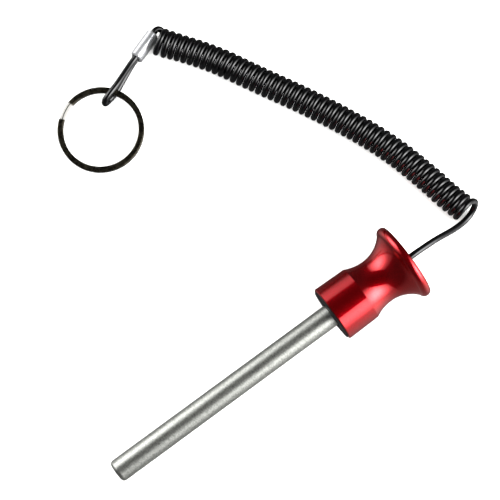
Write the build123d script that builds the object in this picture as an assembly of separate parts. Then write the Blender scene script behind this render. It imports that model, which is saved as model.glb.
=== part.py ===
"""Weight stack pin with a coiled lanyard, lying on a surface.

A steel pin is pressed into a turned trumpet-shaped head with a ring magnet in its lower face.
A cord leaves the head's top, winds into a close coil and ends in a crimped loop with a split ring.
Millimetres. +Z is up, +X runs along the pin towards the head, and the surface is z = 0.
"""
import os
from math import asin, atan2, cos, degrees, hypot, pi, radians, sin, sqrt, tan

from build123d import *

# Steel pin
pin_diameter = 9.5
pin_reach = 106.0  # from the head's lower face to the tip
tip_round = 0.8
shoulder_edge = 0.25
spigot_diameter = 9.0  # the narrower end, held inside the head
spigot_edge = 0.5

# Turned head, with heights measured up its axis from its lower face
head_length = 37.2
collar_diameter = 24.0
collar_top_diameter = 23.4
collar_length = 14.2
collar_chamfer = 0.35
waist_diameter = 19.4
waist_height = 22.4
rim_diameter = 33.0
rim_round = 2.4
rim_setback = 1.7  # from the top face down to the widest point
crease_angle = 16.5  # where the flare meets the rim, above the line through the rim's centre
top_edge_round = 0.4
cord_mouth = 0.6  # countersink round the cord
top_wall = 5.2  # metal between the top face and the chamber for the cord's stop
stop_room = 6.0  # free length in the chamber between the pin and the cord's stop

# Ring magnet in the collar's lower face
magnet_diameter = 22.0
magnet_thickness = 4.0
magnet_proud = 0.5
magnet_edge = 0.15
magnet_gap = 0.05  # glue line all round

# Cord, its stop inside the head, and its close coil
cord_diameter = 2.6
coil_diameter = 11.2
stop_diameter = 6.4
stop_length = 6.0
cord_gap = 0.05
bend_share = 0.45  # of the shorter run beside a corner, taken up by the corner's arc
seat_gap = 0.02  # between the pin's spigot and the bore that holds it

# Crimped sleeve that closes the cord's end loop
sleeve_length = 12.5
sleeve_wall = 1.25
sleeve_edge = 0.4
strand_gap = 0.05

# Split ring of flat wire, wound twice
ring_diameter = 36.0
wire_width = 2.3
wire_thickness = 1.3
wire_round = 0.35
turn_gap = 0.1
ramp_sections = 5  # sections through the step between the turns
step_start = 66.0  # angles round the ring from where the cord holds it
step_end = 92.0
loop_clearance = 0.15

# Places in plan, in x and y from where the cord leaves the head's top face
loop_bend = (-40.0, 136.1)  # where the loop's strands part from the line of the sleeve
bend_room = 3.4  # from that bend to the sleeve
sleeve_heading = 20.0
loop_heading = 203.5
ring_heading = 36.7

# Cord route in x and y from where it leaves the head, and in height above the surface
lead_straight = 5.0
lead_route = [(16.6, 0.2, 14.2), (26.4, 0.7, 6.6), (34.6, 3.9, 2.3)]
coil_route = [
    (33.1, 2.3),
    (30.4, 22.0),
    (24.9, 42.0),
    (17.6, 61.3),
    (8.6, 80.8),
    (-1.7, 100.3),
    (-13.1, 120.0),
    (-24.3, 137.3),
]
tail_inside = 3.0  # length of the tail inside the sleeve's far end
tail_straight = 1.5  # from the sleeve to the tail's first bend
tail_route = [(-21.6, 141.3, 5.9), (-20.5, 139.5, 6.2), (-20.7, 137.6, 6.0)]
# Loop points between its bend and its bight, as distance along the loop and height
loop_lower = [(8.2, 1.5), (13.8, 1.3)]
loop_upper = [(11.8, 7.6), (6.0, 6.4)]
loop_reach = 18.2  # from the bend to where the bight starts to turn
ring_inset = 3.95  # from the ring's wire to where the bight starts to turn

# Worked out
pin_radius = pin_diameter / 2
spigot_radius = spigot_diameter / 2
rim_radius = rim_diameter / 2
rim_height = head_length - rim_setback
cord_radius = cord_diameter / 2
coil_radius = coil_diameter / 2
ring_height = 2 * wire_thickness + turn_gap
turn_pitch = wire_thickness + turn_gap
ring_mid_radius = (ring_diameter - wire_width) / 2
chamber_top = head_length - top_wall
pin_seat = chamber_top - stop_length - stop_room  # depth of the spigot in the head
strand_pitch = cord_diameter + strand_gap
sleeve_slot = cord_diameter + 2 * cord_gap
sleeve_width = sleeve_slot + 2 * sleeve_wall
lower_strand_z = sleeve_width / 2
upper_strand_z = lower_strand_z + strand_pitch
wire_reach = hypot(wire_width / 2 - wire_round, ring_height / 2 - wire_round) + wire_round
ring_axis_z = cord_diameter + wire_reach + loop_clearance
loop_top_z = 2 * ring_axis_z - cord_radius


def head_profile():
    """Half section of the head in the XY plane, its axis on X and its lower face at x = 0."""
    rim_middle = rim_radius - rim_round
    top_radius = rim_middle + sqrt(rim_round**2 - rim_setback**2)
    pocket_radius = magnet_diameter / 2 + magnet_gap
    pocket_depth = magnet_thickness - magnet_proud
    bore_radius = spigot_radius + seat_gap
    hole_radius = cord_radius + cord_gap
    waist = (waist_height, waist_diameter / 2)
    shoulder = (collar_length, collar_top_diameter / 2)
    crease = (
        rim_height - rim_round * cos(radians(crease_angle)),
        rim_middle + rim_round * sin(radians(crease_angle)),
    )
    outline = [
        Polyline(
            (0, pocket_radius),
            (0, collar_diameter / 2 - collar_chamfer),
            (collar_chamfer, collar_diameter / 2),
            shoulder,
        ),
        TangentArc(waist, shoulder, tangent=(-1, 0)),
        TangentArc(waist, crease, tangent=(1, 0)),
        ThreePointArc(crease, (rim_height, rim_radius), (head_length, top_radius)),
        Polyline(
            (head_length, top_radius),
            (head_length, hole_radius + cord_mouth),
            (head_length - cord_mouth, hole_radius),
            (chamber_top, hole_radius),
            (chamber_top, bore_radius),
            (pocket_depth, bore_radius),
            (pocket_depth, pocket_radius),
            (0, pocket_radius),
        ),
    ]
    return make_face(Curve() + outline)


def turned_head():
    """The head, turned from bar: collar, waisted flare, rounded rim and stepped bore."""
    head = revolve(head_profile(), Axis.X)
    rim_edges = head.edges().filter_by(GeomType.CIRCLE).group_by(Axis.X)[-1]
    return fillet(rim_edges.sort_by(SortBy.RADIUS)[-1], top_edge_round)


def rod(radius, start, length):
    """Round bar on the X axis, from start towards +X."""
    upright = Cylinder(radius, length, align=(Align.CENTER, Align.CENTER, Align.MIN))
    return Location((start, 0, 0), (0, 90, 0)) * upright


def round_edges(piece):
    """A turned piece's circular edges, from its low X end to its high one."""
    return piece.edges().filter_by(GeomType.CIRCLE).sort_by(Axis.X)


def pin_shaft():
    """The steel pin: a rounded tip, a bevelled shoulder and a spigot inside the head."""
    shank = rod(pin_radius, -pin_reach, pin_reach - magnet_proud)
    shank = fillet(round_edges(shank)[0], tip_round)
    shank = chamfer(round_edges(shank)[-1], shoulder_edge)
    spigot = rod(spigot_radius, -magnet_proud, magnet_proud + pin_seat)
    return shank + chamfer(round_edges(spigot)[-1], spigot_edge)


def ring_magnet():
    """The magnet round the pin, standing a little proud of the collar."""
    magnet = rod(magnet_diameter / 2, -magnet_proud, magnet_thickness)
    magnet -= rod(pin_radius + magnet_gap, -magnet_proud, magnet_thickness)
    return chamfer(round_edges(magnet), magnet_edge)


def cord_stop():
    """The sleeve crimped on the cord's inner end, hard against the chamber's ceiling."""
    start = chamber_top - stop_length
    return rod(stop_diameter / 2, start, stop_length) - rod(cord_radius + cord_gap, start, stop_length)


def lying_place(pieces):
    """Place that lays the pin on its tip and its rim, centred over the origin."""
    span = pin_reach + rim_height - tip_round
    drop = (rim_radius - rim_round) - (pin_radius - tip_round)
    lift = atan2(drop, span) + asin((rim_round - tip_round) / hypot(span, drop))
    tilt = Location((0, 0, 0), (0, -degrees(lift), 0))
    box = Compound(children=[tilt * piece for piece in pieces]).bounding_box()
    return Location((-box.center().X, 0, -box.min.Z)) * tilt


def corner_radii(points, name):
    """One radius for each corner, as large as its two runs allow."""
    radii = []
    for before, corner, after in zip(points, points[1:], points[2:]):
        arriving, leaving = corner - before, after - corner
        turn = radians(arriving.get_angle(leaving))
        radii.append(bend_share * min(arriving.length, leaving.length) / tan(turn / 2))
    print(name, "corner radii:", [round(radius, 1) for radius in radii])
    return radii


def tube(points, radius, name):
    """Round tube along straight runs joined by arcs."""
    path = FilletPolyline(*points, radius=corner_radii(points, name))
    start = Plane(origin=path @ 0, z_dir=path % 0)
    solid = sweep(start * Circle(radius), path=path)
    expected = pi * radius**2 * path.length
    print(name, "length", round(path.length, 1), "volume ratio", round(solid.volume / expected, 4))
    return solid


def from_exit(cord_exit, points):
    """Route points in the part's frame, from offsets measured at the cord's exit."""
    return [Vector(cord_exit.X + x, cord_exit.Y + y, z) for x, y, z in points]


def lead_points(place, cord_exit):
    """From the stop, out of the head's top face, and down to the coil's near end."""
    inner = (place * Location((chamber_top - stop_length / 2, 0, 0))).position
    outer = (place * Location((head_length + lead_straight, 0, 0))).position
    return [inner, outer] + from_exit(cord_exit, lead_route)


def coil_points(cord_exit):
    """Middle line of the coil, which lies on the surface."""
    return from_exit(cord_exit, [(x, y, coil_radius) for x, y in coil_route])


def point_towards(bend, heading, distance, height):
    """Point at a distance from the loop's bend along a heading in plan, and at a height."""
    ahead = Vector(cos(radians(heading)), sin(radians(heading)), 0)
    return bend + ahead * distance + Vector(0, 0, height)


def loop_points(bend):
    """From the cord's cut end, through the sleeve, round the ring and back into the sleeve."""
    side = (loop_top_z - cord_radius) / sqrt(3)
    bight = [
        (loop_reach, cord_radius),
        (loop_reach + side / 2, ring_axis_z),
        (loop_reach, loop_top_z),
    ]
    loose = loop_lower + bight + loop_upper
    sleeve_end = bend_room + sleeve_length
    points = [point_towards(bend, sleeve_heading, sleeve_end, lower_strand_z)]
    points += [bend + Vector(0, 0, lower_strand_z)]
    points += [point_towards(bend, loop_heading, *point) for point in loose]
    points += [bend + Vector(0, 0, upper_strand_z)]
    points += [point_towards(bend, sleeve_heading, sleeve_end - tail_inside, upper_strand_z)]
    return points


def tail_points(cord_exit, bend):
    """From inside the sleeve out of its far end and into the coil."""
    sleeve_end = bend_room + sleeve_length
    distances = [sleeve_end - tail_inside, sleeve_end + tail_straight]
    points = [point_towards(bend, sleeve_heading, reach, upper_strand_z) for reach in distances]
    return points + from_exit(cord_exit, tail_route)


def crimp_sleeve(bend):
    """The oval sleeve that holds both strands of the loop, one above the other."""
    sleeve = extrude(SlotOverall(sleeve_width + strand_pitch, sleeve_width), sleeve_length)
    ends = sleeve.edges().group_by(Axis.Z)
    sleeve = chamfer(ends[0] + ends[-1], sleeve_edge)
    sleeve -= extrude(SlotOverall(sleeve_slot + strand_pitch, sleeve_slot), sleeve_length)
    middle_z = (lower_strand_z + upper_strand_z) / 2
    end = point_towards(bend, sleeve_heading, bend_room, middle_z)
    return Location(end, (0, 0, sleeve_heading)) * Location((0, 0, 0), (0, 90, 0)) * sleeve


def wire_section(angle, height):
    """The flat wire's section, standing at an angle round the ring and at a height."""
    turn = Location((0, 0, 0), (0, 0, angle))
    section = RectangleRounded(wire_width, wire_thickness, wire_round)
    return turn * (Plane.XZ * Location((ring_mid_radius, height)) * section)


def wire_turn(height):
    """One flat turn of the ring's wire, open across the step."""
    return revolve(wire_section(step_end, height), Axis.Z, 360 - (step_end - step_start))


def wire_step():
    """The short ramp where the wire steps smoothly from the upper turn to the lower one."""
    shares = [index / (ramp_sections - 1) for index in range(ramp_sections)]
    angles = [step_start + (step_end - step_start) * share for share in shares]
    heights = [turn_pitch / 2 * cos(pi * share) for share in shares]
    return loft([wire_section(angle, height) for angle, height in zip(angles, heights)])


def split_ring(bend):
    """Two flat turns and the step between them, leaning from the loop down to the surface."""
    ring = wire_turn(turn_pitch / 2) + wire_turn(-turn_pitch / 2) + wire_step()
    far = 2 * ring_mid_radius + wire_width / 2 - wire_round
    near = ring_height / 2 - wire_round
    lean = asin((ring_axis_z - wire_round) / hypot(far, near)) - atan2(near, far)
    pivot = point_towards(bend, loop_heading, loop_reach - ring_inset, ring_axis_z)
    print("ring pivot", [round(value, 4) for value in pivot], "lean", round(degrees(lean), 3))
    tilt = Location(pivot, (0, 0, ring_heading)) * Location((0, 0, 0), (0, -degrees(lean), 0))
    return tilt * Location((-ring_mid_radius, 0, 0)) * ring


def build():
    """Make every piece in its place and write one file for each."""
    head, shaft, magnet = turned_head(), pin_shaft(), ring_magnet()
    place = lying_place([head, shaft, magnet])
    cord_exit = (place * Location((head_length, 0, 0))).position
    print("cord leaves the head at", [round(value, 4) for value in cord_exit])
    bend = Vector(cord_exit.X + loop_bend[0], cord_exit.Y + loop_bend[1], 0)
    pieces = {
        "pin_shaft": place * shaft,
        "trumpet_head": place * head,
        "ring_magnet": place * magnet,
        "cord_stop": place * cord_stop(),
        "cord_lead": tube(lead_points(place, cord_exit), cord_radius, "lead"),
        "cord_coil": tube(coil_points(cord_exit), coil_radius, "coil"),
        "cord_tail": tube(tail_points(cord_exit, bend), cord_radius, "tail"),
        "cord_loop": tube(loop_points(bend), cord_radius, "loop"),
        "crimp_sleeve": crimp_sleeve(bend),
        "split_ring": split_ring(bend),
    }
    os.makedirs("parts", exist_ok=True)
    for name, piece in pieces.items():
        export_step(piece, f"parts/{name}.step")


build()
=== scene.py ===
"""A weight stack pin on its coiled lanyard, lying on a pale floor.

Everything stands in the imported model's frame: metres, +Z up, +X along the pin towards its head.
Sizes are written in millimetres and reach metres where a mesh is made.
"""
import logging
from dataclasses import dataclass
from enum import Enum
from functools import partial
from math import asin, atan, atan2, cos, degrees, hypot, pi, radians, sin, sqrt, tan
from typing import Any

import bpy
from mathutils import Matrix, Vector


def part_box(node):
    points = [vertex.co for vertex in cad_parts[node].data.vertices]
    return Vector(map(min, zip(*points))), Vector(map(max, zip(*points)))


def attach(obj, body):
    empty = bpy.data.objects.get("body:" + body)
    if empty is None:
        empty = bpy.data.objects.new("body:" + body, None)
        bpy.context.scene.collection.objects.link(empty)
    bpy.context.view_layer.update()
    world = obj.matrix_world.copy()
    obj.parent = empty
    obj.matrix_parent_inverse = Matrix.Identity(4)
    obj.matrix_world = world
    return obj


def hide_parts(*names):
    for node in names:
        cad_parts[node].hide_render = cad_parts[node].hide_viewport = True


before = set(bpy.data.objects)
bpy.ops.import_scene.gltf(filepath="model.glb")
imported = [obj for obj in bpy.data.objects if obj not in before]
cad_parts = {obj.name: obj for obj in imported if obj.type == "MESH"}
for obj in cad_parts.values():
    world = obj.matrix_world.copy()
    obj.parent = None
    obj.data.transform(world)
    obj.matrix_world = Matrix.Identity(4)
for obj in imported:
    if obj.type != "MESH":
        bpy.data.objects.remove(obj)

MM = 0.001
SHARP_ANGLE = radians(22.0)  # edges that turn by more than this are shaded as crisp ones
NOISE_REACH = (0.3, 0.7)  # most values of a noise texture lie between these
RANGE = ("Value", "From Min", "From Max", "To Min", "To Max")  # a Map Range node's inputs

log = logging.getLogger("stack_pin")

Point = tuple[float, float]
Spot = tuple[float, float, float]


class Body(str, Enum):
    """The bodies that pieces ride on."""

    PIN = "pin"
    RING = "ring"


class RingInput(str, Enum):
    """Named inputs of the split ring's node tree."""

    RADIUS = "Radius"
    START = "Start Angle"
    END = "End Angle"
    STEP_START = "Step Start"
    STEP_END = "Step End"
    HALF_PITCH = "Half Pitch"
    WIDTH = "Wire Width"
    THICKNESS = "Wire Thickness"
    ROUND = "Wire Round"


def linear(colour: str) -> tuple[float, float, float, float]:
    """Turn an sRGB hex colour into the linear colour that shaders read.

    Args:
        colour: Six hex digits after a hash sign.

    Returns:
        Linear red, green, blue and an alpha of one.
    """
    shares = [int(colour[start:start + 2], 16) / 255 for start in (1, 3, 5)]
    red, green, blue = (
        share / 12.92 if share <= 0.04045 else ((share + 0.055) / 1.055) ** 2.4
        for share in shares
    )
    return (red, green, blue, 1.0)


def add_node(
    tree: bpy.types.NodeTree,
    kind: str,
    inputs: dict[str | int, Any] | None = None,
    **settings: Any,
) -> bpy.types.Node:
    """Add a node with its settings, and fill its inputs.

    Args:
        tree: The node tree that gets the node.
        kind: The node's type name.
        inputs: For each input's name or number, a value, the socket that feeds it, or the node
            whose first output feeds it.
        **settings: The node's own properties.

    Returns:
        The new node.
    """
    node = tree.nodes.new(kind)
    for name, value in settings.items():
        setattr(node, name, value)
    for name, value in (inputs or {}).items():
        if isinstance(value, bpy.types.Node):
            value = value.outputs[0]
        if isinstance(value, bpy.types.NodeSocket):
            tree.links.new(value, node.inputs[name])
        else:
            node.inputs[name].default_value = value
    return node


def placed(name: str, data: bpy.types.ID) -> bpy.types.Object:
    """Put a new object into the scene.

    Args:
        name: The object's name.
        data: Its mesh, curve or camera.

    Returns:
        The object, at the origin.
    """
    thing = bpy.data.objects.new(name, data)
    bpy.context.scene.collection.objects.link(thing)
    return thing


def shade(mesh: bpy.types.Mesh) -> None:
    """Shade a mesh smooth between its crisp edges."""
    mesh.shade_smooth()
    mesh.set_sharp_from_angle(angle=SHARP_ANGLE)


def arc(centre: Point, radius: float, start: float, end: float, steps: int) -> list[Point]:
    """Points along an arc, its end points among them.

    Args:
        centre: The arc's centre.
        radius: Its radius.
        start: Angle of the first point, in degrees.
        end: Angle of the last point, in degrees.
        steps: Number of runs between the points.

    Returns:
        The points, from the start to the end.
    """
    angles = [radians(start + (end - start) * step / steps) for step in range(steps + 1)]
    return [(centre[0] + radius * cos(angle), centre[1] + radius * sin(angle)) for angle in angles]


def arc_from_waist(waist: Point, end: Point, steps: int) -> list[Point]:
    """Points of the arc that leaves a waist parallel to the axis and reaches an end.

    Args:
        waist: Height and radius where the arc starts.
        end: Height and radius where it ends.
        steps: Number of runs.

    Returns:
        The points, from the waist to the end.
    """
    along, out = end[0] - waist[0], end[1] - waist[1]
    radius = (along**2 + out**2) / (2 * out)
    centre = (waist[0], waist[1] + radius)
    final = degrees(atan2(end[1] - centre[1], end[0] - centre[0]))
    first = -90.0 if along > 0 else 270.0
    return arc(centre, radius, first, final if along > 0 else final % 360, steps)


def solid_of_sections(
    name: str, sections: list[list[Vector]], material: bpy.types.Material, ring: bool = True
) -> bpy.types.Object:
    """Join closed sections of equal point counts into one closed skin.

    Args:
        name: The piece's name.
        sections: The sections in order, each a closed loop of points in metres.
        material: The piece's material.
        ring: Whether the last section joins the first; otherwise both get a flat cap.

    Returns:
        The new object, with its place in its mesh.
    """
    count = len(sections[0])
    pairs = list(zip(range(len(sections)), range(1, len(sections))))
    if ring:
        pairs.append((len(sections) - 1, 0))
    faces = [
        (a * count + i, a * count + (i + 1) % count, b * count + (i + 1) % count, b * count + i)
        for a, b in pairs
        for i in range(count)
    ]
    if not ring:
        faces.append(tuple(range(count))[::-1])
        faces.append(tuple(range((len(sections) - 1) * count, len(sections) * count)))
    mesh = bpy.data.meshes.new(name)
    mesh.from_pydata([point for section in sections for point in section], [], faces)
    mesh.materials.append(material)
    shade(mesh)
    return placed(name, mesh)


def turned(
    name: str,
    profile: list[Point],
    steps: int,
    place: Matrix,
    material: bpy.types.Material,
    ring: bool = True,
) -> bpy.types.Object:
    """Turn a profile round a piece's own X axis.

    Args:
        name: The piece's name.
        profile: Places along the axis and radii in millimetres, so that the skin faces outwards.
        steps: Number of facets round the axis.
        place: Where the piece's own axes are, in metres.
        material: The piece's material.
        ring: Whether the profile closes on itself; otherwise both ends get a flat cap.

    Returns:
        The turned object.
    """
    turns = [2 * pi * step / steps for step in range(steps)]
    sections = [
        [
            place @ (Vector((along, radius * cos(turn), radius * sin(turn))) * MM)
            for turn in turns
        ]
        for along, radius in profile
    ]
    return solid_of_sections(name, sections, material, ring)


def report(piece: bpy.types.Object, body: str, nodes: tuple[str, ...]) -> None:
    """Hand a finished piece to the frame and log it.

    Args:
        piece: The finished object.
        body: The body that it rides on.
        nodes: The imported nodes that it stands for.
    """
    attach(piece, body)
    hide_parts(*nodes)
    log.info("%s rides on %s and stands for %s", piece.name, body, ", ".join(nodes))


@dataclass(frozen=True)
class Finish:
    """A finish whose patterns follow the piece's own axes."""

    place: Matrix

    def start(self, name: str) -> tuple[bpy.types.Material, bpy.types.Node, bpy.types.NodeSocket]:
        """Make a material that knows the piece's own axes.

        Args:
            name: The material's name.

        Returns:
            The material, its main shader, and the place in those axes, in millimetres.
        """
        material = bpy.data.materials.new(name)
        material.use_nodes = True
        tree = material.node_tree
        spot = add_node(tree, "ShaderNodeTexCoord")
        own = add_node(
            tree,
            "ShaderNodeMapping",
            {
                "Vector": spot.outputs["Object"],
                "Location": self.place.translation,
                "Rotation": self.place.to_euler(),
                "Scale": (MM, MM, MM),
            },
            vector_type="TEXTURE",
        )
        return material, tree.nodes["Principled BSDF"], own.outputs[0]

    def dress(
        self,
        shader: bpy.types.Node,
        tones: tuple[bpy.types.Node, str, str],
        gloss: tuple[bpy.types.Node, Point, Point],
        relief: tuple[bpy.types.Node, float, float],
    ) -> bpy.types.NodeSocket:
        """Let the colour, the roughness and the relief each follow a pattern.

        Args:
            shader: The material's main shader.
            tones: A pattern, and the colours where it is low and high.
            gloss: A pattern, the two values that it runs between, and the roughness at each.
            relief: A pattern, the bump's strength and its depth in millimetres.

        Returns:
            The socket that gives the colour.
        """
        tree = shader.id_data
        pattern, low, high = tones
        tone = add_node(
            tree, "ShaderNodeMix", {0: pattern, 6: linear(low), 7: linear(high)}, data_type="RGBA"
        ).outputs[2]
        pattern, reads, gives = gloss
        rough = add_node(tree, "ShaderNodeMapRange", dict(zip(RANGE, (pattern, *reads, *gives))))
        pattern, strength, depth = relief
        bump = add_node(
            tree,
            "ShaderNodeBump",
            {"Height": pattern, "Strength": strength, "Distance": depth * MM},
        )
        tree.links.new(tone, shader.inputs["Base Color"])
        tree.links.new(rough.outputs[0], shader.inputs["Roughness"])
        tree.links.new(bump.outputs[0], shader.inputs["Normal"])
        return tone


@dataclass(frozen=True)
class GroundStainless(Finish):
    """Stainless bar, centreless ground: fine rings round it spread its highlights lengthwise."""

    light: str = "#a7a8a3"
    dark: str = "#7c7d79"
    roughness: Point = (0.34, 0.43)
    ring_pitch: float = 0.35  # real grinding marks are finer, and are drawn as coarse as they show
    scuffs: Spot = (1.9, 1.1, 1.1)  # to a millimetre along and across, coarser than real ones
    wear: Point = (0.1, 0.45)  # most products of the rings and the scuffs lie between these
    relief: Point = (0.12, 0.02)  # the rings' strength, and their depth in millimetres

    def material(self) -> bpy.types.Material:
        """Build the material.

        Returns:
            The finished material.
        """
        material, shader, own = self.start("ground_stainless_steel")
        node = partial(add_node, material.node_tree)
        axis = node("ShaderNodeSeparateXYZ", {0: own})
        rings = node(
            "ShaderNodeTexNoise",
            {"W": axis.outputs["X"], "Scale": 1 / self.ring_pitch, "Detail": 3.0, "Roughness": 0.7},
            noise_dimensions="1D",
        )
        wear_and_highlight = node("ShaderNodeMapping", {"Vector": own, "Scale": self.scuffs})
        scuffs = node("ShaderNodeTexNoise", {"Vector": wear_and_highlight, "Scale": 1.0, "Detail": 4.0})
        grain = node("ShaderNodeMapRange", dict(zip(RANGE, (scuffs, *NOISE_REACH))))
        both = node("ShaderNodeMath", {0: rings, 1: scuffs}, operation="MULTIPLY")
        self.dress(
            shader,
            (grain, self.dark, self.light),
            (both, self.wear, self.roughness),
            (rings, *self.relief),
        )
        shader.inputs["Metallic"].default_value = 1.0
        return material


@dataclass(frozen=True)
class AnodisedAluminium(Finish):
    """Red anodised aluminium: a dyed clear skin over turned metal, deep red under clear gloss."""

    red: str = "#ac0210"
    deep: str = "#98020c"
    clouds: float = 0.18  # to a millimetre: the dye varies over about 5 mm
    roughness: Point = (0.15, 0.21)
    scatter: float = 0.45  # roughness of the share of light that the dyed skin spreads
    scattered: float = 0.25  # that share
    ring_pitch: float = 0.3  # the tool's feed marks, drawn about twice as coarse as they are
    relief: Point = (0.08, 0.01)  # their strength, and their depth in millimetres
    skin: float = 0.8  # how much of the clear skin's own white gloss shows
    skin_gloss: float = 0.035  # the skin's roughness
    edge: str = "#ff3c4a"  # tint of the metal's mirror at glancing angles

    def material(self) -> bpy.types.Material:
        """Build the material.

        Returns:
            The finished material.
        """
        material, shader, own = self.start("anodised_aluminium_red")
        tree = material.node_tree
        node = partial(add_node, tree)
        axis = node("ShaderNodeSeparateXYZ", {0: own})
        rings = node(
            "ShaderNodeTexNoise",
            {"W": axis.outputs["X"], "Scale": 1 / self.ring_pitch, "Detail": 2.0},
            noise_dimensions="1D",
        )
        clouds = node("ShaderNodeTexNoise", {"Vector": own, "Scale": self.clouds, "Detail": 3.0})
        tone = self.dress(
            shader,
            (clouds, self.deep, self.red),
            (rings, NOISE_REACH, self.roughness),
            (rings, *self.relief),
        )
        hazy = node("ShaderNodeBsdfPrincipled", {"Base Color": tone, "Roughness": self.scatter})
        for layer in (shader, hazy):
            layer.inputs["Metallic"].default_value = 1.0
            layer.inputs["Coat Weight"].default_value = self.skin
            layer.inputs["Coat Roughness"].default_value = self.skin_gloss
            layer.inputs["Specular Tint"].default_value = linear(self.edge)
        both = node("ShaderNodeMixShader", {0: self.scattered, 1: shader, 2: hazy})
        tree.links.new(both.outputs[0], tree.nodes["Material Output"].inputs["Surface"])
        return material


@dataclass(frozen=True)
class ExtrudedVinyl(Finish):
    """Gloss black vinyl: an extruded cord jacket, with a faint ripple in its shine."""

    black: str = "#010101"
    worn: str = "#040405"
    roughness: Point = (0.03, 0.07)
    ripple: float = 2.2  # length of the extruder's ripple along the jacket
    relief: Point = (0.1, 0.05)  # its strength, and its depth in millimetres
    ior: float = 1.48

    def material(self) -> bpy.types.Material:
        """Build the material.

        Returns:
            The finished material.
        """
        material, shader, own = self.start("extruded_vinyl_black")
        waves = add_node(
            material.node_tree,
            "ShaderNodeTexNoise",
            {"Vector": own, "Scale": 1 / self.ripple, "Detail": 3.0},
        )
        self.dress(
            shader,
            (waves, self.black, self.worn),
            (waves, NOISE_REACH, self.roughness),
            (waves, *self.relief),
        )
        shader.inputs["IOR"].default_value = self.ior
        return material


@dataclass(frozen=True)
class SinteredFerrite(Finish):
    """Pressed and sintered ferrite: near black, matt, with a fine grain and small dull patches."""

    dark: str = "#060607"
    light: str = "#0e0e0f"
    roughness: Point = (0.5, 0.7)
    shine: float = 0.2  # low, because the open grain breaks up the gloss
    grain: float = 0.35  # real grain is far finer, and is drawn as coarse as it shows
    relief: Point = (0.3, 0.03)  # its strength, and its depth in millimetres
    patches: float = 0.4  # to a millimetre: the dull patches are about 2.5 mm across

    def material(self) -> bpy.types.Material:
        """Build the material.

        Returns:
            The finished material.
        """
        material, shader, own = self.start("sintered_ferrite_black")
        node = partial(add_node, material.node_tree)
        grain = node("ShaderNodeTexNoise", {"Vector": own, "Scale": 1 / self.grain, "Detail": 3.0})
        patches = node("ShaderNodeTexNoise", {"Vector": own, "Scale": self.patches, "Detail": 2.0})
        self.dress(
            shader,
            (patches, self.dark, self.light),
            (patches, (0.0, 1.0), self.roughness),
            (grain, *self.relief),
        )
        shader.inputs["Specular IOR Level"].default_value = self.shine
        return material


@dataclass(frozen=True)
class DrawnMetal(Finish):
    """Soft metal tube, drawn and crimped: fine lines along it and a satin shine."""

    name: str
    light: str
    dark: str
    metallic: float = 1.0  # less where a dull white film of oxide lies on it
    roughness: Point = (0.4, 0.55)
    line_pitch: float = 0.3  # draw lines are finer, and are drawn as coarse as they show
    line_stretch: float = 0.06  # to a millimetre along the tube, so a line is about 15 mm long
    relief: Point = (0.2, 0.02)  # the lines' strength, and their depth in millimetres

    def material(self) -> bpy.types.Material:
        """Build the material.

        Returns:
            The finished material.
        """
        material, shader, own = self.start(self.name)
        node = partial(add_node, material.node_tree)
        across = 1 / self.line_pitch
        drawn = node(
            "ShaderNodeMapping", {"Vector": own, "Scale": (self.line_stretch, across, across)}
        )
        lines = node("ShaderNodeTexNoise", {"Vector": drawn, "Scale": 1.0, "Detail": 3.0})
        self.dress(
            shader,
            (lines, self.dark, self.light),
            (lines, NOISE_REACH, self.roughness),
            (lines, *self.relief),
        )
        shader.inputs["Metallic"].default_value = self.metallic
        return material


@dataclass(frozen=True)
class BlackNickel(Finish):
    """Spring steel plated with black nickel: dark, browner where it is worn, with a highlight
    painted at its step as a pale patch without metal.
    """

    wear_and_highlight: Vector  # middle of the highlight painted at the step, in the piece's own axes
    dark: str = "#24221d"
    worn: str = "#544f43"
    # pale colour of the highlight painted at the step
    painted_highlight: str = "#94928e"
    highlight_reach: float = 4.3  # how far from that place the painted highlight reaches
    highlight_edge: float = 0.8  # width over which the painted highlight fades out
    plated_strip: float = 0.4  # width of the strip along the wire's middle that the painted highlight leaves plated
    roughness: Point = (0.2, 0.38)
    mottle: float = 2.2  # size of the plating's cloudy patches
    relief: Point = (0.08, 0.05)  # their strength, and their depth in millimetres

    def material(self) -> bpy.types.Material:
        """Build the material.

        Returns:
            The finished material.
        """
        material, shader, own = self.start("black_nickel_plate")
        tree = material.node_tree
        node = partial(add_node, tree)
        clouds = node(
            "ShaderNodeTexNoise", {"Vector": own, "Scale": 1 / self.mottle, "Detail": 4.0}
        )
        tone = self.dress(
            shader,
            (clouds, self.dark, self.worn),
            (clouds, NOISE_REACH, self.roughness),
            (clouds, *self.relief),
        )
        # Painted highlight: round the step the plating gives way to a pale colour without metal,
        # fading at its edge and sparing a strip along the wire's middle.
        away = node("ShaderNodeVectorMath", {0: own, 1: self.wear_and_highlight}, operation="DISTANCE")
        highlight_fade = (away.outputs["Value"], self.highlight_reach, self.highlight_reach - self.highlight_edge)
        patch = node(
            "ShaderNodeMapRange", dict(zip(RANGE, highlight_fade)), interpolation_type="SMOOTHSTEP"
        )
        flat = node("ShaderNodeVectorMath", {0: own, 1: (1, 1, 0)}, operation="MULTIPLY")
        out = node("ShaderNodeVectorMath", {0: flat}, operation="LENGTH")
        beside = node(
            "ShaderNodeMath",
            {0: out.outputs["Value"], 1: self.wear_and_highlight.length, 2: self.plated_strip / 2},
            operation="COMPARE",
        )
        painted_highlight = node("ShaderNodeMath", {0: patch, 1: beside}, operation="SUBTRACT", use_clamp=True)
        tone_and_highlight = node("ShaderNodeMix", {0: painted_highlight, 6: tone, 7: linear(self.painted_highlight)}, data_type="RGBA")
        metal = node("ShaderNodeMath", {0: 1.0, 1: painted_highlight}, operation="SUBTRACT")
        tree.links.new(tone_and_highlight.outputs[2], shader.inputs["Base Color"])
        tree.links.new(metal.outputs[0], shader.inputs["Metallic"])
        return material


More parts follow.
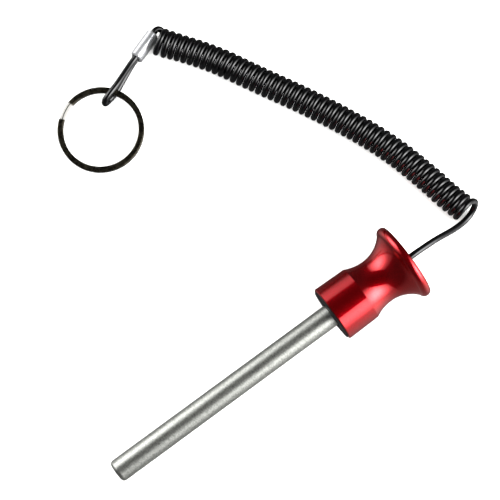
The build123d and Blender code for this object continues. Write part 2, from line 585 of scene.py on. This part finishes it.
@dataclass(frozen=True)
class SoftPanel:
    """A lamp panel with a straight upper edge, brightest in its middle."""

    name: str
    azimuth: Point  # its two sides, in degrees from the picture's right towards its top
    elevation: Point  # its lower edge and the highest place of its upper edge, in degrees
    facing: float  # azimuth of that highest place, where the panel faces the object squarely
    middle: Point  # azimuth and elevation of its brightest place
    spread: Point  # how far the light reaches from there, in degrees
    peak: float
    surround: float  # brightness far from there
    distance: float = 4000.0
    cells: int = 12  # facets each way

    def build(self, centre: Vector, heading: float) -> None:
        """Make the panel.

        Args:
            centre: The point that the panel faces.
            heading: World angle of the picture's right-hand side, in degrees.
        """
        left, right = self.azimuth
        low, high = self.elevation
        spots = []
        for row in range(self.cells + 1):
            for column in range(self.cells + 1):
                azimuth = left + (right - left) * column / self.cells
                top = degrees(atan(tan(radians(high)) * cos(radians(azimuth - self.facing))))
                spots.append((azimuth, low + (top - low) * row / self.cells))
        corners = []
        for azimuth, elevation in spots:
            turn, lift = radians(azimuth + heading), radians(elevation)
            ray = Vector((cos(lift) * cos(turn), cos(lift) * sin(turn), sin(lift)))
            corners.append(centre + ray * self.distance * MM)
        wide = self.cells + 1
        faces = [
            (cell, cell + wide, cell + wide + 1, cell + 1)
            for row in range(self.cells)
            for cell in range(row * wide, row * wide + self.cells)
        ]
        mesh = bpy.data.meshes.new(self.name)
        mesh.from_pydata(corners, [], faces)
        layer = mesh.uv_layers.new(name="angles")
        for loop in mesh.loops:
            layer.data[loop.index].uv = spots[loop.vertex_index]
        mesh.materials.append(self.glow())
        panel = placed(self.name, mesh)
        panel.visible_camera = False

    def glow(self) -> bpy.types.Material:
        """Light that fades smoothly from the panel's brightest place.

        Returns:
            The emitting material.
        """
        material = bpy.data.materials.new(self.name)
        material.use_nodes = True
        tree = material.node_tree
        tree.nodes.clear()
        node = partial(add_node, tree)
        spot = node("ShaderNodeTexCoord")
        off = node(
            "ShaderNodeMapping",
            {
                "Vector": spot.outputs["UV"],
                "Location": (*self.middle, 0.0),
                "Scale": (self.spread[0] * sqrt(2), self.spread[1] * sqrt(2), 1.0),
            },
            vector_type="TEXTURE",
        )
        square = node("ShaderNodeVectorMath", {0: off, 1: off}, operation="DOT_PRODUCT")
        minus = node("ShaderNodeMath", {0: square.outputs["Value"], 1: -1.0}, operation="MULTIPLY")
        fade = node("ShaderNodeMath", {0: minus}, operation="EXPONENT")
        lit = node("ShaderNodeMath", {0: fade, 1: self.peak}, operation="MULTIPLY")
        total = node("ShaderNodeMath", {0: lit, 1: self.surround}, operation="ADD")
        glow = node("ShaderNodeEmission", {"Strength": total})
        node("ShaderNodeOutputMaterial", {"Surface": glow})
        return material


@dataclass(frozen=True)
class Studio:
    """The camera, the floor, two soft lamp panels and the pale room round them."""

    aim: Spot = (24.75, 43.17, 0.0)  # the middle of the picture, on the floor
    distance: float = 734.09  # from there to the camera
    elevation: float = 76.5  # of the camera, in degrees
    heading: float = 54.062  # world angle of the picture's top, in degrees
    lens: float = 128.95
    sensor: float = 36.0
    sight: Point = (50.0, 50000.0)  # nearest and farthest things that the camera sees
    floor_side: float = 9000.0
    floor_colour: str = "#f3f3f1"
    reflected_floor_glow: Point = (0.32, 0.12)  # brightness of the glow that shiny pieces see in place of the floor, a painted reflection, before and behind the pin
    floor_turns: float = 20.0  # how far from the pin's line it has turned from one to the other
    floor_gloss: float = 1.8  # refractive index that mirrors the lamps in it, for shiny pieces
    floor_polish: float = 0.12  # roughness of that mirror
    room_light: float = 3.0  # the even light that falls on everything
    room_seen: Point = (0.08, 0.03)  # what shiny pieces see of the room's walls and dark ceiling
    room_edges: Point = (45.0, 70.0)  # elevations where the walls end and the ceiling starts
    panels: tuple[SoftPanel, ...] = (
        SoftPanel(
            "panel_right",
            azimuth=(-68, 32),
            elevation=(0, 59.5),
            facing=-10,
            middle=(-20, 32),
            spread=(20, 19),
            peak=14.0,
            surround=0.35,
        ),
        SoftPanel(
            "panel_left",
            azimuth=(118, 196),
            elevation=(2, 58),
            facing=170,
            middle=(151, 28),
            spread=(16, 20),
            peak=7.6,
            surround=0.3,
        ),
    )

    def camera(self) -> None:
        """Stand the camera where the photograph was taken from."""
        turn, lift = radians(self.heading), radians(self.elevation)
        gaze = Vector((cos(lift) * cos(turn), cos(lift) * sin(turn), -sin(lift)))
        data = bpy.data.cameras.new("camera")
        data.sensor_width = self.sensor
        data.lens = self.lens
        data.clip_start, data.clip_end = (reach * MM for reach in self.sight)
        camera = placed("camera", data)
        camera.location = (Vector(self.aim) - gaze * self.distance) * MM
        camera.rotation_mode = "QUATERNION"
        camera.rotation_quaternion = gaze.to_track_quat("-Z", "Y")
        bpy.context.scene.camera = camera

    def floor(self) -> None:
        """Lay the pale floor, which shiny pieces see darker, as a floor outside the light is: to
        them it is a glow, a painted reflection that fades from before the pin to behind it, with
        the lamps mirrored over it.
        """
        half = self.floor_side / 2 * MM
        mesh = bpy.data.meshes.new("floor")
        corners = [(-half, -half, 0), (half, -half, 0), (half, half, 0), (-half, half, 0)]
        mesh.from_pydata(corners, [], [(0, 1, 2, 3)])
        material = bpy.data.materials.new("pale_floor")
        material.use_nodes = True
        tree = material.node_tree
        tree.nodes.clear()
        node = partial(add_node, tree)
        path = node("ShaderNodeLightPath")
        paper = node("ShaderNodeBsdfDiffuse", {"Color": linear(self.floor_colour)})
        spot = node("ShaderNodeTexCoord")
        side = node("ShaderNodeSeparateXYZ", {0: spot.outputs["Object"]})
        turns = self.floor_turns * MM
        fades = (side.outputs["Y"], -turns, turns, *self.reflected_floor_glow)
        brightness = node(
            "ShaderNodeMapRange", dict(zip(RANGE, fades)), interpolation_type="SMOOTHSTEP"
        )
        # Painted reflection: shiny pieces see the floor as this glow, not as lit paper.
        floor_glow = node("ShaderNodeEmission", {"Strength": brightness})
        glance = node("ShaderNodeFresnel", {"IOR": self.floor_gloss})
        mirror = node("ShaderNodeBsdfAnisotropic", {"Roughness": self.floor_polish})
        glossy = node("ShaderNodeMixShader", {0: glance, 1: floor_glow, 2: mirror})
        both = node("ShaderNodeMixShader", {0: path.outputs["Is Glossy Ray"], 1: paper, 2: glossy})
        node("ShaderNodeOutputMaterial", {"Surface": both})
        mesh.materials.append(material)
        placed("floor", mesh)

    def room(self) -> None:
        """Light the room evenly, with a darker ceiling for shiny pieces to reflect."""
        world = bpy.data.worlds.new("room")
        world.use_nodes = True
        bpy.context.scene.world = world
        tree = world.node_tree
        tree.nodes.clear()
        node = partial(add_node, tree)
        path = node("ShaderNodeLightPath")
        ray = node("ShaderNodeTexCoord")
        height = node("ShaderNodeSeparateXYZ", {0: ray.outputs["Generated"]})
        edges = [sin(radians(edge)) for edge in self.room_edges]
        walls = node(
            "ShaderNodeMapRange",
            dict(zip(RANGE, (height.outputs["Z"], *edges, *self.room_seen))),
            interpolation_type="SMOOTHSTEP",
        )
        strength = node(
            "ShaderNodeMix", {0: path.outputs["Is Glossy Ray"], 2: self.room_light, 3: walls}
        )
        light = node("ShaderNodeBackground", {"Strength": strength})
        node("ShaderNodeOutputWorld", {"Surface": light})

    def build(self) -> None:
        """Set up the camera, floor, lamps and room."""
        self.camera()
        self.floor()
        for panel in self.panels:
            panel.build(Vector(self.aim) * MM, self.heading - 90.0)
        self.room()
        bpy.context.scene.view_settings.view_transform = "Standard"
        log.info("studio ready with %d lamp panels", len(self.panels))


@dataclass(frozen=True)
class PinAssembly:
    """The steel pin, its turned head and the ring magnet, on one leaning axis."""

    pin_diameter: float = 9.5
    pin_reach: float = 106.0  # of the bare pin, from the head's lower face
    tip_round: float = 0.8  # round that the pin rests on
    tip_worn: float = 1.6  # the tip's edge as it looks, worn rounder by use
    shoulder_edge: float = 0.25
    spigot_diameter: float = 9.0
    spigot_edge: float = 0.5
    head_length: float = 37.2
    collar_diameter: float = 24.0
    collar_top_diameter: float = 23.4
    collar_length: float = 14.2
    collar_chamfer: float = 0.35
    waist_diameter: float = 19.4
    waist_height: float = 22.4  # heights up the head start at its lower face
    rim_diameter: float = 33.0
    rim_round: float = 2.4
    rim_setback: float = 1.7  # from the top face down to the widest point
    crease_angle: float = 16.5  # where the flare meets the rim, above the line through its centre
    top_edge_round: float = 0.4
    cord_mouth: float = 0.6  # countersink round the cord
    hole_diameter: float = 2.7
    top_wall: float = 5.2  # metal between the top face and the chamber for the cord's stop
    pin_seat: float = 20.0  # depth of the spigot in the head
    magnet_diameter: float = 22.0
    magnet_thickness: float = 4.0
    magnet_proud: float = 0.5
    magnet_edge: float = 0.15
    magnet_gap: float = 0.05  # glue line all round
    seat_gap: float = 0.02  # between the spigot and its bore
    head_facets: int = 192
    pin_facets: int = 144
    neck_steps: int = 14  # runs along each curve of the sections
    flare_steps: int = 22
    rim_steps: int = 20
    edge_steps: int = 5
    tip_steps: int = 8

    @property
    def rim_height(self) -> float:
        """Height of the rim's widest point up the head."""
        return self.head_length - self.rim_setback

    @property
    def lift(self) -> float:
        """Angle of the axis above the floor, from the tip and the rim that both rest on it.

        Returns:
            The angle, in radians.
        """
        span = self.pin_reach + self.rim_height - self.tip_round
        drop = (self.rim_diameter / 2 - self.rim_round) - (self.pin_diameter / 2 - self.tip_round)
        return atan2(drop, span) + asin((self.rim_round - self.tip_round) / hypot(span, drop))

    @property
    def place(self) -> Matrix:
        """Where the pin lies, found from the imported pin's tip.

        Returns:
            The middle of the head's lower face with the axis as X, in metres.
        """
        reach = self.pin_reach - self.tip_round
        edge = self.pin_diameter / 2 - self.tip_round
        lift = self.lift
        back = reach * cos(lift) + edge * sin(lift) + self.tip_round
        up = reach * sin(lift) + edge * cos(lift) + self.tip_round
        foot = Vector((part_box("pin_shaft")[0].x + back * MM, 0.0, up * MM))
        return Matrix.Translation(foot) @ Matrix.Rotation(-lift, 4, "Y")

    def on_axis(self, height: float) -> Vector:
        """Point on the axis at a height up the head, in metres."""
        return self.place @ Vector((height * MM, 0.0, 0.0))

    def head_profile(self) -> list[Point]:
        """The head's section, from the magnet's pocket out over the rim and back down its bore.

        Returns:
            Heights and radii of the closed section.
        """
        rim_middle = self.rim_diameter / 2 - self.rim_round
        pocket = self.magnet_diameter / 2 + self.magnet_gap
        floor = self.magnet_thickness - self.magnet_proud
        bore = self.spigot_diameter / 2 + self.seat_gap
        hole = self.hole_diameter / 2
        ceiling = self.head_length - self.top_wall
        waist = (self.waist_height, self.waist_diameter / 2)
        shoulder = (self.collar_length, self.collar_top_diameter / 2)
        crease = 180.0 - self.crease_angle
        bead = arc((self.rim_height, rim_middle), self.rim_round, crease, crease, 1)[0]
        edge_x = self.head_length - self.top_edge_round
        inner = self.rim_round - self.top_edge_round
        edge_r = rim_middle + sqrt(inner**2 - (edge_x - self.rim_height) ** 2)
        edge_angle = degrees(atan2(edge_r - rim_middle, edge_x - self.rim_height))
        outline = [
            (floor, pocket),
            (0.0, pocket),
            (0.0, self.collar_diameter / 2 - self.collar_chamfer),
            (self.collar_chamfer, self.collar_diameter / 2),
        ]
        outline += arc_from_waist(waist, shoulder, self.neck_steps)[::-1]
        outline += arc_from_waist(waist, bead, self.flare_steps)[1:]
        rim = (self.rim_height, rim_middle)
        outline += arc(rim, self.rim_round, crease, edge_angle, self.rim_steps)[1:]
        edge = (edge_x, edge_r)
        outline += arc(edge, self.top_edge_round, edge_angle, 0.0, self.edge_steps)[1:]
        outline += [
            (self.head_length, hole + self.cord_mouth),
            (self.head_length - self.cord_mouth, hole),
            (ceiling, hole),
            (ceiling, bore),
            (floor, bore),
        ]
        return outline

    def pin_profile(self) -> list[Point]:
        """The pin's section, from its rounded tip to its spigot inside the head.

        Returns:
            Places along the axis and radii.
        """
        radius, spigot = self.pin_diameter / 2, self.spigot_diameter / 2
        tip = (-self.pin_reach + self.tip_worn, radius - self.tip_worn)
        outline = arc(tip, self.tip_worn, 180.0, 90.0, self.tip_steps)
        outline += [
            (-self.magnet_proud - self.shoulder_edge, radius),
            (-self.magnet_proud, spigot),
            (self.pin_seat - self.spigot_edge, spigot),
            (self.pin_seat, spigot - self.spigot_edge),
        ]
        return outline

    def magnet_profile(self) -> list[Point]:
        """The magnet's section, with its edges just broken.

        Returns:
            Places along the axis and radii of the closed section.
        """
        inner = self.pin_diameter / 2 + self.magnet_gap
        outer, edge = self.magnet_diameter / 2, self.magnet_edge
        low, high = -self.magnet_proud, self.magnet_thickness - self.magnet_proud
        return [
            (low + edge, inner),
            (low, inner + edge),
            (low, outer - edge),
            (low + edge, outer),
            (high - edge, outer),
            (high, outer - edge),
            (high, inner + edge),
            (high - edge, inner),
        ]

    def build(self) -> None:
        """Make the three turned pieces and dress them and the cord's stop inside the head."""
        place = self.place
        steel = GroundStainless(place).material()
        red = AnodisedAluminium(place).material()
        ferrite = SinteredFerrite(place).material()
        stop = DrawnMetal(place, "drawn_aluminium_stop", light="#c9c8c5", dark="#9d9c98").material()
        pin = turned("steel_pin", self.pin_profile(), self.pin_facets, place, steel, ring=False)
        head = turned("red_head", self.head_profile(), self.head_facets, place, red)
        magnet = turned("magnet_ring", self.magnet_profile(), self.pin_facets, place, ferrite)
        report(pin, Body.PIN.value, ("pin_shaft",))
        report(head, Body.PIN.value, ("trumpet_head",))
        report(magnet, Body.PIN.value, ("ring_magnet",))
        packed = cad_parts["cord_stop"].data.materials
        packed.clear()
        packed.append(stop)
        log.info("cord_stop keeps its packed shape")


@dataclass(frozen=True)
class LoopEnd:
    """Where the cord doubles back: the bend, the sleeve on it and the split ring in its loop."""

    bend: Point = (-40.0, 136.1)  # in plan, from where the cord leaves the head
    bend_room: float = 3.4  # from the bend to the sleeve
    sleeve_heading: float = 20.0  # headings are world angles in plan, in degrees
    loop_heading: float = 203.5
    ring_heading: float = 36.7
    cord_diameter: float = 2.6
    cord_gap: float = 0.05  # between the cord and the sleeve's slot
    strand_gap: float = 0.05  # between the two strands in it
    sleeve_length: float = 12.5
    sleeve_wall: float = 1.25
    sleeve_edge: float = 0.4
    ring_diameter: float = 36.0
    wire_width: float = 2.3
    wire_thickness: float = 1.3
    wire_round: float = 0.35
    turn_gap: float = 0.1  # between the ring's two turns
    step_start: float = 66.0  # where the wire climbs from one turn to the other, in degrees
    step_end: float = 92.0
    loop_clearance: float = 0.15  # between the ring's wire and the cord in the loop
    loop_reach: float = 18.2  # from the bend to where the loop's end starts to turn
    ring_inset: float = 3.95  # from the ring's wire to there

    @property
    def strand_pitch(self) -> float:
        """Height from the sleeve's lower strand to its upper one."""
        return self.cord_diameter + self.strand_gap

    @property
    def sleeve_slot(self) -> float:
        """Width of the sleeve's slot."""
        return self.cord_diameter + 2 * self.cord_gap

    @property
    def sleeve_width(self) -> float:
        """Width of the sleeve."""
        return self.sleeve_slot + 2 * self.sleeve_wall

    @property
    def lower_strand(self) -> float:
        """Height of the lower strand in the sleeve, which lies on the floor."""
        return self.sleeve_width / 2

    @property
    def upper_strand(self) -> float:
        """Height of the upper strand in the sleeve."""
        return self.lower_strand + self.strand_pitch

    @property
    def ring_height(self) -> float:
        """Height of the ring's two turns together."""
        return 2 * self.wire_thickness + self.turn_gap

    @property
    def ring_radius(self) -> float:
        """Radius at the middle of the ring's wire."""
        return (self.ring_diameter - self.wire_width) / 2

    @property
    def ring_axis(self) -> float:
        """Height of the ring's wire where the loop holds it, clear of the strand below.

        Returns:
            The height of the wire's middle.
        """
        corner = hypot(
            self.wire_width / 2 - self.wire_round, self.ring_height / 2 - self.wire_round
        )
        return self.cord_diameter + corner + self.wire_round + self.loop_clearance

    @property
    def loop_top(self) -> float:
        """Height of the loop's upper strand over the ring."""
        return 2 * self.ring_axis - self.cord_diameter / 2

    def towards(self, heading: float, distance: float, height: float) -> Spot:
        """Point at a distance from the bend.

        Args:
            heading: Angle in plan, in degrees.
            distance: Distance in plan from the bend.
            height: Height above the floor.

        Returns:
            The point, in plan from the cord's exit and in height above the floor.
        """
        turn = radians(heading)
        return (
            self.bend[0] + distance * cos(turn),
            self.bend[1] + distance * sin(turn),
            height,
        )


@dataclass(frozen=True)
class BeyondHead:
    """What lies past the head, placed by its distance in plan from where the cord leaves it."""

    exit: Vector
    end: LoopEnd

    def at(self, offset: Spot) -> Vector:
        """Point in metres from plan offsets from the exit and a height above the floor."""
        x, y, z = offset
        return Vector((self.exit.x + x * MM, self.exit.y + y * MM, z * MM))


@dataclass(frozen=True)
class Cord(BeyondHead):
    """One black cord, from the head through a close left-handed coil to its crimped loop."""

    pin: PinAssembly
    winding_radius: float = 4.58  # of the strand's middle round the coil's middle line
    coil_height: float = 5.9  # of the coil's middle line above the floor
    points_per_turn: int = 16
    pitch_at_head: float = 2.74  # from one turn to the next
    pitch_at_sleeve: float = 2.9
    pitch_settles: float = 100.0  # length of coil over which the pitch grows
    first_pass: float = 1.45  # along the coil, where the strand first passes underneath
    first_turn: float = 0.375  # turns after that pass where the even coil starts
    last_turn: float = 51.5
    wider_turns: float = 3.0  # turns at the far end that open out
    wider_by: float = 0.27  # in radius, at the last of them
    start_depth: float = 3.0  # of the cord's start under the roof of the head's chamber
    mouth_run: Point = (-1.2, 5.0)  # straight run through the head's top face, along its axis
    # Plan offsets from the exit, and heights above the floor
    lead_route: tuple[Spot, ...] = (
        (15.5, 0.1, 14.0),
        (22.5, 0.1, 8.2),
        (28.2, 0.4, 4.0),
        (32.6, 0.9, 2.2),
        (36.2, 1.9, 2.2),
        (38.8, 3.2, 4.4),
        (39.5, 4.4, 7.2),
    )
    coil_route: tuple[Point, ...] = (
        (34.9, 1.8),
        (31.8, 12.5),
        (30.4, 22.0),
        (25.6, 42.3),
        (17.9, 61.5),
        (8.6, 80.8),
        (-2.1, 100.1),
        (-12.4, 120.5),
        (-25.3, 136.8),
    )
    tail_route: tuple[Spot, ...] = (
        (-26.6, 134.9, 10.0),
        (-28.6, 133.9, 8.2),
        (-29.1, 133.7, 5.6),
        (-28.1, 135.0, 2.7),
        (-26.5, 136.4, 1.5),
        (-25.0, 137.5, 1.4),
        (-23.4, 138.4, 1.4),
        (-21.9, 139.1, 1.4),
        (-20.95, 140.25, 2.15),
        (-20.95, 141.45, 3.35),
        (-21.85, 142.2, 4.55),
    )
    tail_straight: float = 1.8  # straight run outside the sleeve's far mouth
    tail_inside: float = 0.3  # and inside it
    mouth_straight: float = 2.2  # from the bend, where the run into its near mouth is straight
    strand_heading: float = 204.9  # of the strands halfway down the loop, in degrees
    bight_heading: float = 201.9  # of the loop's end, in degrees
    bight_reach: float = 17.1  # to the middle of the round at the loop's end
    bight_step: float = 45.0  # between the points of that round, in degrees
    # Loop points as distance along the loop and height
    loop_upper: tuple[Point, ...] = ((6.0, 6.4), (11.8, 7.6))
    loop_lower: tuple[Point, ...] = ((13.8, 1.3), (8.2, 1.5))
    bevel_steps: int = 6  # of the cord's round section
    cord_steps: int = 3  # between two route points
    guide_steps: int = 40

    @property
    def radius(self) -> float:
        """Radius of the cord."""
        return self.end.cord_diameter / 2

    @property
    def bight_radius(self) -> float:
        """Radius of the control points round the loop's end, a little outside the strand."""
        return (self.end.loop_top - self.radius) / 2 / cos(radians(self.bight_step / 2))

    def spline(
        self, name: str, points: list[Vector], depth: float, steps: int
    ) -> bpy.types.Object:
        """Make a smooth cord along route points.

        Args:
            name: The object's name.
            points: The route, in metres.
            depth: The cord's radius in metres, or zero for a bare line.
            steps: Number of runs between two route points.

        Returns:
            The curve object.
        """
        curve = bpy.data.curves.new(name, "CURVE")
        curve.dimensions = "3D"
        curve.bevel_depth = depth
        curve.bevel_resolution = self.bevel_steps
        curve.resolution_u = steps
        curve.use_fill_caps = True
        line = curve.splines.new("NURBS")
        line.points.add(len(points) - 1)
        for spot, point in zip(line.points, points):
            spot.co = (*point, 1.0)
        line.order_u = 3
        line.use_endpoint_u = True
        return placed(name, curve)

    def coil_line(self) -> list[Vector]:
        """Points along the coil's middle line, from its smooth route.

        Returns:
            Closely spaced points, in metres.
        """
        route = [self.at((x, y, self.coil_height)) for x, y in self.coil_route]
        guide = self.spline("coil_guide", route, 0.0, self.guide_steps)
        bpy.context.view_layer.update()
        mesh = bpy.data.meshes.new_from_object(guide)
        line = [vertex.co.copy() for vertex in mesh.vertices]
        bpy.data.meshes.remove(mesh)
        bpy.data.objects.remove(guide)
        return line

    def coil_points(self) -> list[Vector]:
        """The coil's turns, wound left-handed round its middle line.

        Returns:
            Route points of the turns, in metres.
        """
        line = self.coil_line()
        runs = [(after - before).length / MM for before, after in zip(line, line[1:])]
        inset = (3 + cos(2 * pi / self.points_per_turn)) / 4  # the smooth line cuts its corners
        up = Vector((0, 0, 1))
        points = []
        cell, passed, along, turn = 0, 0.0, self.first_pass, 0.0
        while turn <= self.last_turn:
            while cell < len(runs) - 1 and passed + runs[cell] < along:
                passed += runs[cell]
                cell += 1
            ahead = (line[cell + 1] - line[cell]).normalized()
            middle = line[cell] + ahead * (along - passed) * MM
            opened = max(0.0, 1 - (self.last_turn - turn) / self.wider_turns) * self.wider_by
            reach = (self.winding_radius + opened) / inset * MM
            angle = 2 * pi * turn
            if turn >= self.first_turn:
                out = ahead.cross(up) * sin(angle) - up * cos(angle)
                points.append(middle + up * opened * MM + out * reach)
            settled = min(1.0, along / self.pitch_settles)
            pitch = self.pitch_at_head + (self.pitch_at_sleeve - self.pitch_at_head) * settled
            along += pitch / self.points_per_turn
            turn += 1 / self.points_per_turn
        return points

    def route(self) -> list[Vector]:
        """The whole cord's route, from its stop in the head to its cut end in the sleeve.

        Returns:
            Route points, in metres.
        """
        end = self.end
        out = end.sleeve_heading
        far = end.bend_room + end.sleeve_length
        top = self.pin.head_length
        heights = [top - self.pin.top_wall - self.start_depth]
        heights += [top + height for height in self.mouth_run]
        points = [self.pin.on_axis(height) for height in heights]
        points += [self.at(spot) for spot in self.lead_route]
        points += self.coil_points()
        tail = (far + self.tail_straight, far - self.tail_inside, self.mouth_straight, 0.0)
        bight = arc(
            (self.bight_reach, end.ring_axis),
            self.bight_radius,
            1.5 * self.bight_step,
            -1.5 * self.bight_step,
            3,
        )
        offsets = list(self.tail_route)
        offsets += [end.towards(out, along, end.upper_strand) for along in tail]
        offsets += [end.towards(self.strand_heading, *spot) for spot in self.loop_upper]
        offsets += [end.towards(self.bight_heading, *spot) for spot in bight]
        offsets += [end.towards(self.strand_heading, *spot) for spot in self.loop_lower]
        offsets += [
            end.towards(out, along, end.lower_strand) for along in (0.0, self.mouth_straight, far)
        ]
        return points + [self.at(offset) for offset in offsets]

    def build(self) -> bpy.types.Object:
        """Make the cord and dress it.

        Returns:
            The cord's curve object.
        """
        cord = self.spline("coiled_cord", self.route(), self.radius * MM, self.cord_steps)
        vinyl = ExtrudedVinyl(Matrix.Translation(self.exit)).material()
        cord.data.materials.append(vinyl)
        return cord


@dataclass(frozen=True)
class RingAssembly(BeyondHead):
    """The crimped sleeve and the split ring at the cord's loop."""

    half_round_steps: int = 12  # of the sleeve's section
    sections_per_turn: int = 120  # of the ring's wire
    wire_round_steps: int = 6  # of each corner of that wire's section

    def sleeve_section(self, width: float) -> list[Point]:
        """A stadium round both strands.

        Args:
            width: Width of the stadium, whose height is one strand's pitch more.

        Returns:
            Sideways and upright places of its points.
        """
        half = self.end.strand_pitch / 2
        upper = arc((0.0, half), width / 2, 0.0, 180.0, self.half_round_steps)
        lower = arc((0.0, -half), width / 2, 180.0, 360.0, self.half_round_steps)
        return upper + lower

    def sleeve(self) -> bpy.types.Object:
        """Make the oval sleeve, with bevelled ends and a slot for both strands.

        Returns:
            The sleeve.
        """
        end = self.end
        middle = (end.lower_strand + end.upper_strand) / 2
        start = self.at(end.towards(end.sleeve_heading, end.bend_room, middle))
        place = Matrix.Translation(start) @ Matrix.Rotation(radians(end.sleeve_heading), 4, "Z")
        edge, length = end.sleeve_edge, end.sleeve_length
        outer, slot = end.sleeve_width, end.sleeve_slot
        stations = [
            (0.0, slot),
            (0.0, outer - 2 * edge),
            (edge, outer),
            (length - edge, outer),
            (length, outer - 2 * edge),
            (length, slot),
        ]
        sections = [
            [
                place @ (Vector((along, side, up)) * MM)
                for side, up in self.sleeve_section(width)
            ]
            for along, width in stations
        ]
        metal = DrawnMetal(
            place,
            "drawn_aluminium_sleeve",
            light="#c6c7c9",
            dark="#9c9da0",
            metallic=0.75,
            roughness=(0.26, 0.36),
        ).material()
        return solid_of_sections("crimped_sleeve", sections, metal)

    def ring_place(self) -> Matrix:
        """Where the split ring leans from the loop down to the floor.

        Returns:
            The place of the ring's own centre and axes, in metres.
        """
        end = self.end
        far = 2 * end.ring_radius + end.wire_width / 2 - end.wire_round
        near = end.ring_height / 2 - end.wire_round
        lean = asin((end.ring_axis - end.wire_round) / hypot(far, near)) - atan2(near, far)
        grip = end.loop_reach - end.ring_inset
        pivot = self.at(end.towards(end.loop_heading, grip, end.ring_axis))
        turn = Matrix.Rotation(radians(end.ring_heading), 4, "Z")
        tilt = Matrix.Rotation(-lean, 4, "Y")
        back = Matrix.Translation((-end.ring_radius * MM, 0.0, 0.0))
        return Matrix.Translation(pivot) @ turn @ tilt @ back

    def ring_tree(self, metal: bpy.types.Material) -> bpy.types.NodeTree:
        """Node tree that winds flat wire twice round, with one smooth step between the turns.

        Args:
            metal: The ring's material.

        Returns:
            The tree.
        """
        tree = bpy.data.node_groups.new("split_ring_winding", "GeometryNodeTree")
        node = partial(add_node, tree)
        for name in RingInput:
            tree.interface.new_socket(name.value, in_out="INPUT", socket_type="NodeSocketFloat")
        tree.interface.new_socket("Geometry", in_out="OUTPUT", socket_type="NodeSocketGeometry")
        entry = node("NodeGroupInput")
        given = {name: entry.outputs[name.value] for name in RingInput}
        line = node(
            "GeometryNodeResampleCurve",
            {"Curve": node("GeometryNodeCurvePrimitiveLine"), "Count": 2 * self.sections_per_turn},
        )
        share = node("GeometryNodeSplineParameter").outputs["Factor"]
        winds = (share, 0.0, 1.0, given[RingInput.START], given[RingInput.END])
        angle = node("ShaderNodeMapRange", dict(zip(RANGE, winds)))
        steps = (angle, given[RingInput.STEP_START], given[RingInput.STEP_END], 0.0, pi)
        stepped = node("ShaderNodeMapRange", dict(zip(RANGE, steps)))
        swing = node("ShaderNodeMath", {0: stepped}, operation="COSINE")
        rise = node(
            "ShaderNodeMath", {0: swing, 1: given[RingInput.HALF_PITCH]}, operation="MULTIPLY"
        )
        spot = node("ShaderNodeCombineXYZ", {"Z": rise})
        for across, wave in (("X", "COSINE"), ("Y", "SINE")):
            part = node("ShaderNodeMath", {0: angle}, operation=wave)
            reach = node(
                "ShaderNodeMath", {0: part, 1: given[RingInput.RADIUS]}, operation="MULTIPLY"
            )
            tree.links.new(reach.outputs[0], spot.inputs[across])
        wound = node("GeometryNodeSetPosition", {"Geometry": line, "Position": spot})
        upright = node("GeometryNodeSetCurveNormal", {"Curve": wound}, mode="Z_UP")
        flat = node(
            "GeometryNodeCurvePrimitiveQuadrilateral",
            {"Width": given[RingInput.WIDTH], "Height": given[RingInput.THICKNESS]},
            mode="RECTANGLE",
        )
        section = node(
            "GeometryNodeFilletCurve",
            {"Curve": flat, "Count": self.wire_round_steps, "Radius": given[RingInput.ROUND]},
            mode="POLY",
        )
        wire = node(
            "GeometryNodeCurveToMesh",
            {"Curve": upright, "Profile Curve": section, "Fill Caps": True},
        )
        solid = node("GeometryNodeRealizeInstances", {0: wire})
        dressed = node("GeometryNodeSetMaterial", {"Geometry": solid, "Material": metal})
        node("NodeGroupOutput", {0: dressed})
        return tree

    def split_ring(self) -> bpy.types.Object:
        """Wind the split ring with its node tree and keep the plain mesh.

        Returns:
            The ring.
        """
        end = self.end
        place = self.ring_place()
        middle = radians((end.step_start + end.step_end) / 2)
        step = Vector((cos(middle), sin(middle), 0.0)) * end.ring_radius
        # the ring's finish paints a highlight round the middle of the step
        metal = BlackNickel(place, step).material()
        tree = self.ring_tree(metal)
        values = {
            RingInput.RADIUS: end.ring_radius * MM,
            RingInput.START: radians(end.step_end),
            RingInput.END: radians(end.step_start + 2 * 360),
            RingInput.STEP_START: radians(end.step_start + 360),
            RingInput.STEP_END: radians(end.step_end + 360),
            RingInput.HALF_PITCH: (end.wire_thickness + end.turn_gap) / 2 * MM,
            RingInput.WIDTH: end.wire_width * MM,
            RingInput.THICKNESS: end.wire_thickness * MM,
            RingInput.ROUND: end.wire_round * MM,
        }
        ring = placed("split_ring_wire", bpy.data.meshes.new("winding"))
        winding = ring.modifiers.new("winding", "NODES")
        winding.node_group = tree
        for socket in tree.interface.items_tree:
            if socket.in_out == "INPUT":
                winding[socket.identifier] = values[RingInput(socket.name)]
        bpy.context.view_layer.update()
        sight = bpy.context.evaluated_depsgraph_get()
        mesh = bpy.data.meshes.new_from_object(ring.evaluated_get(sight))
        ring.modifiers.remove(winding)
        ring.data = mesh
        mesh.transform(place)
        shade(mesh)
        return ring


def main() -> None:
    """Build the studio and every piece in order."""
    logging.basicConfig(level=logging.INFO, format="%(name)s: %(message)s")
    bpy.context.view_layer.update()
    Studio().build()
    pin = PinAssembly()
    end = LoopEnd()
    cord_exit = pin.on_axis(pin.head_length)
    cord = Cord(cord_exit, end, pin).build()
    pin.build()
    rings = RingAssembly(cord_exit, end)
    sleeve = rings.sleeve()
    ring = rings.split_ring()
    report(sleeve, Body.PIN.value, ("crimp_sleeve",))
    report(ring, Body.RING.value, ("split_ring",))
    cord_nodes = ("cord_lead", "cord_coil", "cord_tail", "cord_loop")
    report(cord, Body.PIN.value, cord_nodes)
    log.info("sizes written")


if __name__ == "__main__":
    main()
